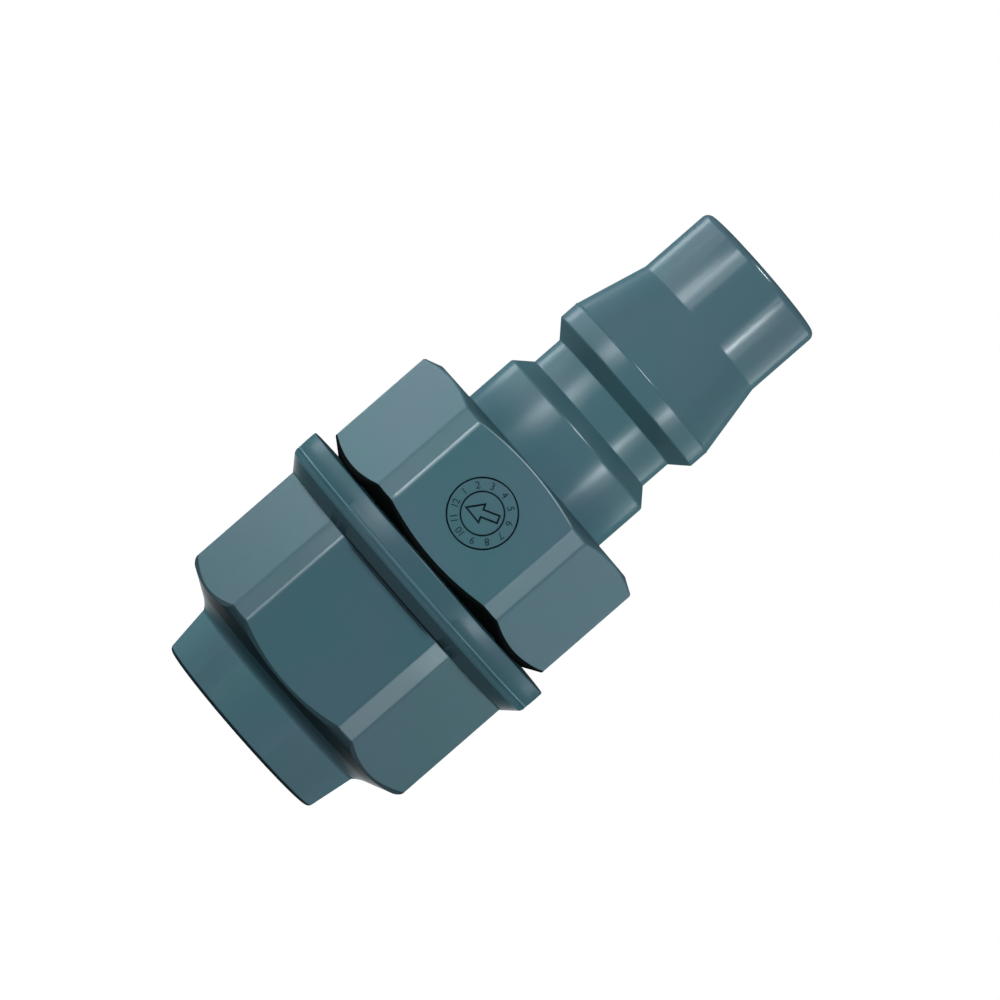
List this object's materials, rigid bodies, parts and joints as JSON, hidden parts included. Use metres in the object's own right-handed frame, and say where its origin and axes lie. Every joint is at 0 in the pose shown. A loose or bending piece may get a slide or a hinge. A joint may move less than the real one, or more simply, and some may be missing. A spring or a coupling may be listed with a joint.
{
  "type": "plastic quick coupling plug with hose clamp nut",
  "caption": "Moulded plastic quick coupling plug with stepped nose and locking groove, and a flanged hexagon nut that clamps an air hose on its stem.",
  "frame": {"origin": "centre of the nut's hose end, on which the part stands", "axes": "+Z along the plug's axis from the hose end to the nose; -Y out of the hexagon flat with the round recess"},
  "size_m": [0.0208, 0.0206, 0.0415],
  "materials": {
    "plug_plastic": "satin, dark teal grey",
    "nut_plastic": "satin, dark teal grey",
    "sleeve_plastic": "satin, natural"
  },
  "bodies": {
    "plug": {"plug_body": "plug_plastic"},
    "sleeve": {"grip_sleeve": "sleeve_plastic"},
    "nut": {"clamp_nut": "nut_plastic"}
  },
  "joints": [
    {"name": "nut_advance", "type": "slide", "parent": "plug", "child": "sleeve", "axis": [0, 0, -1], "range_m": [0, 0.0045]},
    {"name": "nut_turn", "type": "hinge", "parent": "sleeve", "child": "nut", "pos_m": [0, 0, 0.0075], "axis": [0, 0, -1], "range_deg": [0, 1080]}
  ],
  "couplings": [
    {"joint": "nut_advance", "follows": "nut_turn", "m_per_rad": 0.00023873}
  ]
}
